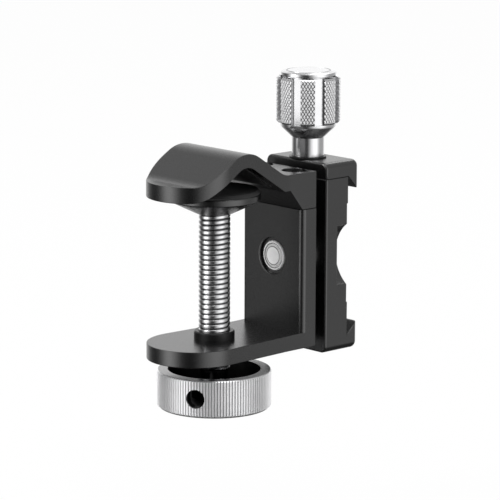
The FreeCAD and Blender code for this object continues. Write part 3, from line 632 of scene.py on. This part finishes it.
for side in (-1, 1):
    cut((side * lobe_width / 2, 0, 0), (side, 0, 0), closed=False)
    cut((0, 0, side * lobe_tall / 2), (0, 0, side), closed=False)
bpy.ops.mesh.select_all(action="SELECT")
bpy.ops.mesh.region_to_loop()
bpy.ops.mesh.extrude_edges_move(TRANSFORM_OT_translate={"value": (0, lobe_depth, 0)})
flat_back = (0, lobe_depth - KNURL_DEPTH, 0)
bpy.ops.transform.resize(value=(1, 0, 1), center_override=flat_back)
bpy.ops.mesh.edge_face_add()
bpy.ops.mesh.select_all(action="SELECT")
bpy.ops.mesh.normals_make_consistent(inside=False)
for side in (-1, 1):
    corner = (0, -KNURL_DEPTH, side * (lobe_tall / 2 - LOBE_CHAMFER))
    cut(corner, (0, -1, side), closed=True)
bpy.ops.object.mode_set(mode="OBJECT")
print("lobe:", triangles(lobe), "triangles")

# %% [markdown]
# ## Eight lobes round the knob
# The Simple Deform modifier bends the flat strip to the curve of the knob. The other seven
# lobes are copies of it, each with its own mesh, turned in equal steps. Core, flutes and lobes
# overlap as closed shells, and one object of them stands in for the plain knob.

# %% Eight lobes round the knob
bend = lobe.modifiers.new("round_the_knob", "SIMPLE_DEFORM")
bend.deform_method = "BEND"
bend.deform_axis = "Z"
bend.angle = lobe_width / BASE_RADIUS
bpy.context.view_layer.objects.active = lobe
bpy.ops.object.modifier_apply(modifier=bend.name)
lobe.location = (0, -BASE_RADIUS, 0)
settle(lobe)
lobes = [lobe]
for index in range(1, LOBE_COUNT):
    twin = new_object(f"knob_lobe_{index}", lobe.data.copy())
    twin.rotation_euler.z = index * 2 * math.pi / LOBE_COUNT
    lobes.append(twin)
for item in lobes:
    item.location = (KNOB_AXIS[0], 0, (LOBE_FOOT + LOBE_END) / 2)
    settle(item)
knurled_knob = joined("knurled_knob", [core, flutes, *lobes])
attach(knurled_knob, "knob")
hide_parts("knob")
knob_size = [round(v / MM, 2) for v in knurled_knob.dimensions]
print("knob:", triangles(knurled_knob), "triangles, size in mm", knob_size)

# %% [markdown]
# ## Soft edges on the black parts
# No machined edge is perfectly sharp: it is broken by a few tenths of a millimetre, and that
# small slope catches the light as a thin line. The frame's solids have sharp edges, so each
# black piece is copied, its loose triangles are merged back to whole faces, and only the
# edges that point outwards get a bevel. The inner corners stay as the cutter left them.

# %% Soft edges
SOFT_EDGE = 0.22 * MM
SHARP_FROM = math.radians(35)
FLAT_WITHIN = math.radians(0.5)


def softened(node_name, name, body):
    """A copy of a frame piece with its outer edges broken."""
    piece = new_object(name, nodes[node_name].data.copy())
    deselect_all()
    piece.select_set(True)
    bpy.context.view_layer.objects.active = piece
    bpy.ops.object.mode_set(mode="EDIT")
    bpy.ops.mesh.select_all(action="SELECT")
    bpy.ops.mesh.remove_doubles(threshold=MERGE_WITHIN)
    bpy.ops.mesh.dissolve_limited(angle_limit=FLAT_WITHIN)
    bpy.ops.mesh.select_mode(type="EDGE")
    bpy.ops.mesh.select_all(action="DESELECT")
    mesh = bmesh.from_edit_mesh(piece.data)
    for edge in mesh.edges:
        if edge.is_manifold and edge.is_convex and edge.calc_face_angle() > SHARP_FROM:
            edge.select_set(True)
    bmesh.update_edit_mesh(piece.data)
    bpy.ops.mesh.bevel(
        offset=SOFT_EDGE, segments=2, affect="EDGES", clamp_overlap=False, loop_slide=True
    )
    bpy.ops.object.mode_set(mode="OBJECT")
    smooth(piece, 32)
    weigh = piece.modifiers.new("even_faces", "WEIGHTED_NORMAL")
    weigh.keep_sharp = True
    bpy.ops.object.modifier_apply(modifier=weigh.name)
    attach(piece, body)
    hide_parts(node_name)
    print(name, triangles(piece), "triangles")
    return piece


soft_frame = softened("clamp_frame", "clamp_frame_soft", "frame")
soft_upper_jaw = softened("upper_jaw", "upper_jaw_soft", "frame")
soft_base = softened("clamp_base", "clamp_base_soft", "frame")
soft_jaw = softened("moving_jaw", "moving_jaw_soft", "jaw")
soft_pad = softened("pressure_pad", "pressure_pad_soft", "pad")

# %% [markdown]
# ## Shared effects
# Three effects come back in several materials: a fine grain with soft clouds, the rings that a
# lathe leaves, and painted shade in the roots of a thread or knurl. Copied nodes would have to
# be changed in every material by hand, so each effect is a node group that is built once, and
# each material places it with its own values.

# %% Helpers for groups and materials
def new_group(name, inputs, outputs):
    """An empty group with named sockets, and its two end nodes."""
    group = bpy.data.node_groups.new(name, "ShaderNodeTree")
    for kind, label, value in inputs:
        socket = group.interface.new_socket(label, in_out="INPUT", socket_type=kind)
        socket.default_value = value
    for kind, label in outputs:
        group.interface.new_socket(label, in_out="OUTPUT", socket_type=kind)
    start = group.nodes.new("NodeGroupInput")
    end = group.nodes.new("NodeGroupOutput")
    return group, start, end


def use_group(tree, group, **values):
    """Places a group in a material with its own values."""
    node = tree.nodes.new("ShaderNodeGroup")
    node.node_tree = group
    for label, value in values.items():
        feed(tree, node.inputs[label.replace("_", " ")], value)
    return node


def new_material(name, **values):
    """A material whose shader has the given plain values."""
    material = bpy.data.materials.new(name)
    material.use_nodes = True
    shader = material.node_tree.nodes["Principled BSDF"]
    for label, value in values.items():
        shader.inputs[label.replace("_", " ")].default_value = value
    return material, material.node_tree, shader


def bump(tree, shader, height, strength, distance):
    """Lets a height between 0 and 1 tilt the surface."""
    node = tree.nodes.new("ShaderNodeBump")
    node.inputs["Strength"].default_value = strength
    node.inputs["Distance"].default_value = distance
    tree.links.new(height, node.inputs["Height"])
    tree.links.new(node.outputs[0], shader.inputs["Normal"])


# %% [markdown]
# ## Fine grain
# Blasting, dyeing and handling leave marks of two sizes: a grain finer than a hair, and clouds
# of some millimetres. Both are noise on the object's own coordinates, so they stay with the
# piece when it moves. The scale counts the grains along one metre.

# %% Fine grain
GRAIN_DETAIL, CLOUD_DETAIL = 2.0, 4.0
grain, start, end = new_group(
    "fine_grain",
    [("NodeSocketFloat", "Scale", 4000.0), ("NodeSocketFloat", "Cloud Scale", 60.0)],
    [("NodeSocketFloat", "Grain"), ("NodeSocketFloat", "Clouds")],
)
place = grain.nodes.new("ShaderNodeTexCoord")
for label, scale, detail in (
    ("Grain", "Scale", GRAIN_DETAIL),
    ("Clouds", "Cloud Scale", CLOUD_DETAIL),
):
    noise = grain.nodes.new("ShaderNodeTexNoise")
    noise.inputs["Detail"].default_value = detail
    grain.links.new(place.outputs["Object"], noise.inputs["Vector"])
    grain.links.new(start.outputs[scale], noise.inputs["Scale"])
    grain.links.new(noise.outputs["Fac"], end.inputs[label])
print("group", grain.name)

# %% [markdown]
# ## Lathe rings
# A turning tool leaves a fine spiral: circles on a flat face, hoops round a side. The distance
# from the axis and the height are the only two things it depends on, so noise on just these
# two gives rings that run on over every edge. The group also gives out both distances, because
# masks need them.

# %% Lathe rings
rings, start, end = new_group(
    "lathe_rings",
    [
        ("NodeSocketVector", "Centre", (0.0, 0.0, 0.0)),
        ("NodeSocketFloat", "Radial Scale", 3000.0),
        ("NodeSocketFloat", "Axial Scale", 3000.0),
    ],
    [("NodeSocketFloat", "Rings"), ("NodeSocketFloat", "Radius"), ("NodeSocketFloat", "Height")],
)
place = rings.nodes.new("ShaderNodeTexCoord")
centred = rings.nodes.new("ShaderNodeVectorMath")
centred.operation = "SUBTRACT"
rings.links.new(place.outputs["Object"], centred.inputs[0])
rings.links.new(start.outputs["Centre"], centred.inputs[1])
split = rings.nodes.new("ShaderNodeSeparateXYZ")
rings.links.new(centred.outputs[0], split.inputs[0])
squares = [math_node(rings, "MULTIPLY", split.outputs[a], split.outputs[a]) for a in ("X", "Y")]
radius = math_node(rings, "SQRT", math_node(rings, "ADD", *squares))
height = split.outputs["Z"]
along = rings.nodes.new("ShaderNodeCombineXYZ")
outward = math_node(rings, "MULTIPLY", radius, start.outputs["Radial Scale"])
upward = math_node(rings, "MULTIPLY", height, start.outputs["Axial Scale"])
rings.links.new(outward, along.inputs[0])
rings.links.new(upward, along.inputs[1])
noise = rings.nodes.new("ShaderNodeTexNoise")
noise.inputs["Scale"].default_value = 1.0
noise.inputs["Detail"].default_value = 3.0
rings.links.new(along.outputs[0], noise.inputs["Vector"])
rings.links.new(noise.outputs["Fac"], end.inputs["Rings"])
rings.links.new(radius, end.inputs["Radius"])
rings.links.new(height, end.inputs["Height"])
print("group", rings.name)

# %% [markdown]
# ## Painted shade in the roots
# Little light gets into the roots of a thread or a knurl, and that shade is painted into the
# colour. The distance from the axis tells a crest from a root, so the colour falls from its own
# tone at the crest to a share of it at the root. How dark the roots are is given in each
# material.

# %% Dark roots
roots, start, end = new_group(
    "painted_root_shade",
    [
        ("NodeSocketColor", "Colour", (1.0, 1.0, 1.0, 1.0)),
        ("NodeSocketFloat", "Radius", 0.0),
        ("NodeSocketFloat", "Root", 0.0),
        ("NodeSocketFloat", "Crest", 1.0),
        ("NodeSocketFloat", "Root Tone", 0.2),
    ],
    [("NodeSocketColor", "Colour")],
)
climb = (start.outputs["Root"], start.outputs["Crest"])
# Painted shade: the colour is darkened towards the root of each groove.
tone = mapped(roots, start.outputs["Radius"], climb, (start.outputs["Root Tone"], 1.0))
shaded = mixed(roots, 1.0, start.outputs["Colour"], tone, "MULTIPLY")
roots.links.new(shaded, end.inputs["Colour"])
print("group", roots.name)

# %% [markdown]
# ## Black anodised aluminium
# The big parts are machined, blasted with fine beads and dyed black. The blasting leaves a
# grain much finer than a hair, which spreads each reflection into a soft glow, and the dye
# is deeper in some places than in others. The index of refraction is set a little high, so
# that the black comes out as light as in the photograph.

# %% Black anodised aluminium
TINT_LOW, TINT_HIGH = 0.3, 0.7


def tint(tree, shader, value, dark, light):
    """Base colour that drifts between two tones."""
    drift = ramp(tree, value, [(TINT_LOW, dark), (TINT_HIGH, light)])
    tree.links.new(drift, shader.inputs["Base Color"])


def spread(tree, value, low, high):
    """Stretches a value between 0 and 1 over a range."""
    return mapped(tree, value, (0, 1), (low, high))


black, tree, shader = new_material("black_anodised", Metallic=0.0, Roughness=0.3, IOR=1.8)
marks = use_group(tree, grain, Scale=9000.0, Cloud_Scale=80.0)
tint(tree, shader, marks.outputs["Clouds"], (0.0015, 0.0015, 0.0016), (0.003, 0.003, 0.0032))
tree.links.new(spread(tree, marks.outputs["Grain"], 0.2, 0.34), shader.inputs["Roughness"])
bump(tree, shader, marks.outputs["Grain"], 0.35, 0.00003)
print("material", black.name)

# %% [markdown]
# ## Bright turned metal
# Five finishes come from a lathe: the smooth parts of the knob, its knurl, plain steel, the
# thread and the handwheel. They share one recipe and differ in tone, in gloss and in the depth
# of their rings. The knurl and the thread also get painted shade in their roots. The knurl's
# Metallic is lower than that of real metal, because that came nearer to the photograph's tone.

# %% Bright turned metal
def turned_metal(name, colour, roughness, centre, rings_depth, metallic=1.0):
    """Metal with lathe rings about an upright axis, cloudy by a tenth of its tone."""
    material, tree, shader = new_material(name, Metallic=metallic)
    turned = use_group(tree, rings, Centre=centre, Radial_Scale=5000.0, Axial_Scale=5000.0)
    cloud = use_group(tree, grain, Scale=5000.0, Cloud_Scale=120.0)
    dark = tuple(c * 0.9 for c in colour)
    tint(tree, shader, cloud.outputs["Clouds"], dark, colour)
    low, high = roughness
    tree.links.new(spread(tree, turned.outputs["Rings"], low, high), shader.inputs["Roughness"])
    bump(tree, shader, turned.outputs["Rings"], rings_depth, 0.00002)
    return material


def paint_root_shade(material, centre, root, crest, tone):
    """Runs the base colour of a material through the group that paints shade into the roots."""
    tree = material.node_tree
    base = tree.nodes["Principled BSDF"].inputs["Base Color"]
    turned = use_group(tree, rings, Centre=centre)
    root_shade = use_group(tree, roots, Root=root, Crest=crest, Root_Tone=tone)
    tree.links.new(base.links[0].from_socket, root_shade.inputs["Colour"])
    tree.links.new(turned.outputs["Radius"], root_shade.inputs["Radius"])
    tree.links.new(root_shade.outputs["Colour"], base)


ORIGIN = (0.0, 0.0, 0.0)
bright = turned_metal("bright_turned", (0.73, 0.73, 0.74), (0.14, 0.24), KNOB_AXIS, 0.3)
steel = turned_metal("turned_steel", (0.72, 0.72, 0.73), (0.18, 0.3), ORIGIN, 0.4)
thread_metal = turned_metal("thread_metal", (0.66, 0.66, 0.67), (0.14, 0.24), ORIGIN, 0.2)
knurl_metal = turned_metal("knurl_metal", (0.97, 0.97, 0.98), (0.3, 0.45), KNOB_AXIS, 0.2, 0.2)
# Painted shade in the roots of the thread and of the knob's knurl.
paint_root_shade(thread_metal, ORIGIN, ROOT_RADIUS, SCREW_RADIUS - 0.4 * THREAD_DEPTH, 0.15)
paint_root_shade(knurl_metal, KNOB_AXIS, BASE_RADIUS, LOBE_RADIUS - 0.2 * KNURL_DEPTH, 0.06)
print("turned metals for the knob, the screw and small steel parts")

# %% [markdown]
# ## The handwheel
# The wheel looks black inside its dish and its hole, where little light gets in, and bright on
# the knurl and on the ring at its top. That black is painted shade: a mask that knows the
# distance from the axis and the height paints everything but the knurl and the ring on top
# near black and takes its Metallic away. The cut ring on top is smoother, so its roughness is
# halved. Two materials with a line of faces between them would need that line in the mesh.

# %% The handwheel
WHEEL_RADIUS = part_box("handwheel")[1].x
TOOTH_DEPTH = 0.4 * MM
TOOTH_TIP = 0.1 * MM
SKIN = 0.3 * MM
DISH_RADIUS = WHEEL_RADIUS - 2.6 * MM
WHEEL_SHADE_TONE = 0.004


def paint_wheel_shade(material):
    """Paints shade over all of a material but the knurl and the ring on top."""
    tree = material.node_tree
    shader = tree.nodes["Principled BSDF"]
    turned = use_group(tree, rings)
    away, height = turned.outputs["Radius"], turned.outputs["Height"]
    # Painted shade: all but the knurl and the top ring is painted near black.
    knurl = math_node(tree, "GREATER_THAN", away, WHEEL_RADIUS - TOOTH_DEPTH - SKIN)
    top = math_node(tree, "GREATER_THAN", height, WHEEL_TOP - SKIN)
    ring = math_node(tree, "MULTIPLY", top, math_node(tree, "GREATER_THAN", away, DISH_RADIUS))
    unshaded = math_node(tree, "MAXIMUM", knurl, ring)
    metallic = shader.inputs["Metallic"].default_value
    tree.links.new(math_node(tree, "MULTIPLY", unshaded, metallic), shader.inputs["Metallic"])
    colour = shader.inputs["Base Color"].links[0].from_socket
    shaded_colour = mixed(tree, 1.0, colour, spread(tree, unshaded, WHEEL_SHADE_TONE, 1.0), "MULTIPLY")
    tree.links.new(shaded_colour, shader.inputs["Base Color"])
    rough = shader.inputs["Roughness"].links[0].from_socket
    facing = spread(tree, top, 1.0, 0.5)
    tree.links.new(math_node(tree, "MULTIPLY", rough, facing), shader.inputs["Roughness"])


wheel_metal = turned_metal("wheel_metal", (0.93, 0.93, 0.94), (0.35, 0.5), ORIGIN, 0.3, 0.75)
# Painted shade in the roots of the wheel's knurl.
paint_root_shade(wheel_metal, ORIGIN, WHEEL_RADIUS - TOOTH_DEPTH, WHEEL_RADIUS - TOOTH_TIP, 0.3)
paint_wheel_shade(wheel_metal)
print("wheel bare from", round(DISH_RADIUS / MM, 2), "mm outwards on its top")

# %% [markdown]
# ## Faced steel in the spine
# In the spine the photograph shows a bright disc with dark rings in it. What makes them can't
# be told from so few pixels, so they are only painted here and the mesh stays flat: the dark
# rings are painted shade, and the brighter rings beside them are painted highlight. The group of
# the lathe rings works about an upright axis, but this axis lies level, along X, so the
# distance is worked out from Y and Z alone. A ramp over that distance, as a share of the
# ring's radius, paints the highlight rings and the shade rings at the places listed.

# %% Faced steel in the spine
# The dark rings are painted shade, and the bright rings beside them are painted highlight.
HIGHLIGHT_RING, SHADE_RING = 0.98, 0.05
PAINTED_RING_TONES = [
    (0.0, 0.92), (0.56, HIGHLIGHT_RING), (0.62, SHADE_RING), (0.68, HIGHLIGHT_RING), (0.77, 0.95),
    (0.83, SHADE_RING), (0.89, HIGHLIGHT_RING),
]
insert_low, insert_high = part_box("spine_insert")
INSERT_RADIUS = (insert_high.z - insert_low.z) / 2

faced_steel, tree, shader = new_material("faced_steel", Metallic=0.2, Roughness=0.5)
place = tree.nodes.new("ShaderNodeTexCoord")
centred = tree.nodes.new("ShaderNodeVectorMath")
centred.operation = "SUBTRACT"
centred.inputs[1].default_value = (insert_low + insert_high) / 2
tree.links.new(place.outputs["Object"], centred.inputs[0])
across = tree.nodes.new("ShaderNodeVectorMath")
across.operation = "MULTIPLY"
across.inputs[1].default_value = (0, 1, 1)
tree.links.new(centred.outputs[0], across.inputs[0])
distance = tree.nodes.new("ShaderNodeVectorMath")
distance.operation = "LENGTH"
tree.links.new(across.outputs[0], distance.inputs[0])
share = math_node(tree, "DIVIDE", distance.outputs["Value"], INSERT_RADIUS)
tones = ramp(tree, share, [(position, grey(tone)) for position, tone in PAINTED_RING_TONES])
tree.links.new(tones, shader.inputs["Base Color"])
marks = use_group(tree, grain, Scale=3000.0, Cloud_Scale=900.0)
tree.links.new(spread(tree, marks.outputs["Clouds"], 0.3, 0.7), shader.inputs["Roughness"])
bump(tree, shader, marks.outputs["Clouds"], 0.5, 0.0001)
print("faced steel, radius", round(INSERT_RADIUS / MM, 2), "mm")

# %% [markdown]
# ## Blackened steel and rubber
# The bush, the washer and the wheel's screw are steel with a thin black oxide, which lets a
# little of the metal's shine through. The grip strips and the pad's facing are rubber with a
# matt grain, much coarser than that of the metal, and no shine.

# %% Blackened steel and rubber
black_steel, tree, shader = new_material("blackened_steel", Metallic=0.6, Roughness=0.35)
marks = use_group(tree, grain, Scale=6000.0, Cloud_Scale=300.0)
tint(tree, shader, marks.outputs["Clouds"], (0.012, 0.012, 0.012), (0.03, 0.03, 0.031))
bump(tree, shader, marks.outputs["Grain"], 0.2, 0.00002)

rubber, tree, shader = new_material("grained_rubber", Roughness=0.75)
marks = use_group(tree, grain, Scale=3500.0, Cloud_Scale=200.0)
tint(tree, shader, marks.outputs["Clouds"], (0.012, 0.012, 0.012), (0.02, 0.02, 0.02))
bump(tree, shader, marks.outputs["Grain"], 0.6, 0.00008)
print("materials:", [m.name for m in bpy.data.materials])

# %% [markdown]
# ## Give each piece its finish
# A piece of the frame keeps its mesh and gets the finish in its material slots. The knob has
# two finishes: every face that lies beyond the bottom of the knurl's grooves gets the knurl's,
# and the rest of the knob stays bright.

# %% Give each piece its finish
FINISHES = {
    "clamp_frame": black,
    "upper_jaw": black,
    "clamp_base": black,
    "moving_jaw": black,
    "pressure_pad": black,
    "threaded_bush": black_steel,
    "handwheel_screw": black_steel,
    "knob_washer": black_steel,
    "jaw_liner_front": rubber,
    "jaw_liner_rear": rubber,
    "pad_facing": rubber,
    "clamp_screw": steel,
    "draw_screw": steel,
    "guide_pins": steel,
    "jaw_springs": steel,
    "upper_jaw_screws": steel,
    "mount_screw_washer": steel,
    "base_locating_pins": steel,
    "pad_retaining_ring": steel,
    "spine_insert": faced_steel,
    "mount_screw": faced_steel,
    "handwheel": wheel_metal,
    "knob": bright,
}
KNURL_FROM = BASE_RADIUS - EDGE_EASE / 4

for name, node in nodes.items():
    for slot in node.material_slots:
        slot.material = FINISHES[name]
for piece, finish in (
    (threaded_screw, thread_metal),
    (knurled_knob, bright),
    (soft_frame, black),
    (soft_upper_jaw, black),
    (soft_base, black),
    (soft_jaw, black),
    (soft_pad, black),
):
    piece.data.materials.clear()
    piece.data.materials.append(finish)
knurled_knob.data.materials.append(knurl_metal)
for face in knurled_knob.data.polygons:
    away = math.hypot(face.center.x - KNOB_AXIS[0], face.center.y)
    face.material_index = int(away > KNURL_FROM)
print("dressed", len(nodes), "nodes")
